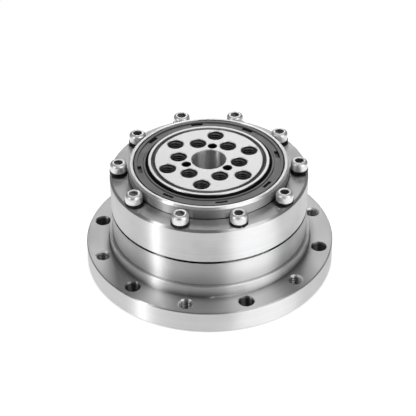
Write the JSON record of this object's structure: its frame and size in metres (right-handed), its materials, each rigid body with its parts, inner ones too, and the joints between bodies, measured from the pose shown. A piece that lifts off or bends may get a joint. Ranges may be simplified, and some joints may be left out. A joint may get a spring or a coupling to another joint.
{
  "type": "strain wave gearbox",
  "caption": "Strain wave gearbox: round mounting flange, stepped steel housing clamped by cap screws, sealed output face with tapped holes, toothed flexible cup and oval wave generator inside.",
  "frame": {"origin": "centre of the flat mounting face under the flange", "axes": "+Z along the gearbox axis, out of the output face; +X through one of the housing screws"},
  "size_m": [0.079, 0.079, 0.0363],
  "materials": {
    "flange_steel": "turned, satin",
    "spline_steel": "turned, satin",
    "housing_steel": "turned, satin, glossy on the screw seat",
    "output_steel": "fine matte ground",
    "bearing_steel": "polished",
    "flex_steel": "fine machined",
    "screw_steel": "bright stainless",
    "black_steel": "black oxide",
    "seal_rubber": "moulded, matt",
    "seal_steel": "pressed sheet",
    "cam_steel": "machined",
    "cage_plastic": "natural polyamide"
  },
  "bodies": {
    "housing": {"mounting_flange": "flange_steel", "circular_spline": "spline_steel", "bearing_outer_ring": "housing_steel", "housing_o_ring": "seal_rubber", "lock_washers": "black_steel", "clamp_screws": "screw_steel", "oil_seal": "seal_rubber", "seal_case": "seal_steel", "garter_spring": "seal_steel"},
    "output": {"output_flange": "output_steel", "bearing_inner_ring": "bearing_steel", "inner_ring_screws": "black_steel", "flexspline": "flex_steel", "flexspline_clamp_plate": "flex_steel", "flexspline_screws": "black_steel", "dowel_pins": "bearing_steel", "flex_bearing_outer_race": "bearing_steel"},
    "wave_generator": {"wave_generator_plug": "cam_steel", "flex_bearing_inner_race": "bearing_steel", "oldham_insert": "cage_plastic", "wave_generator_hub": "cam_steel", "rub_washer": "cam_steel", "snap_ring": "black_steel"},
    "roller_set": {"crossed_rollers": "bearing_steel", "roller_spacers": "cage_plastic"},
    "ball_set": {"flex_bearing_balls": "bearing_steel", "ball_separator": "cage_plastic"}
  },
  "joints": [
    {"name": "output_spin", "type": "hinge", "parent": "housing", "child": "output", "pos_m": [0, 0, 0.0265], "axis": [0, 0, 1], "continuous": true},
    {"name": "input_spin", "type": "hinge", "parent": "housing", "child": "wave_generator", "pos_m": [0, 0, 0.00825], "axis": [0, 0, 1], "continuous": true, "deforming": ["flexspline", "flex_bearing_outer_race", "flex_bearing_balls", "ball_separator"]},
    {"name": "roller_orbit", "type": "hinge", "parent": "housing", "child": "roller_set", "pos_m": [0, 0, 0.0265], "axis": [0, 0, 1], "continuous": true},
    {"name": "ball_orbit", "type": "hinge", "parent": "housing", "child": "ball_set", "pos_m": [0, 0, 0.00825], "axis": [0, 0, 1], "continuous": true}
  ],
  "couplings": [
    {"joint": "input_spin", "follows": "output_spin", "ratio": -50},
    {"joint": "roller_orbit", "follows": "output_spin", "ratio": 0.47632},
    {"joint": "ball_orbit", "follows": "output_spin", "ratio": -22.169}
  ]
}
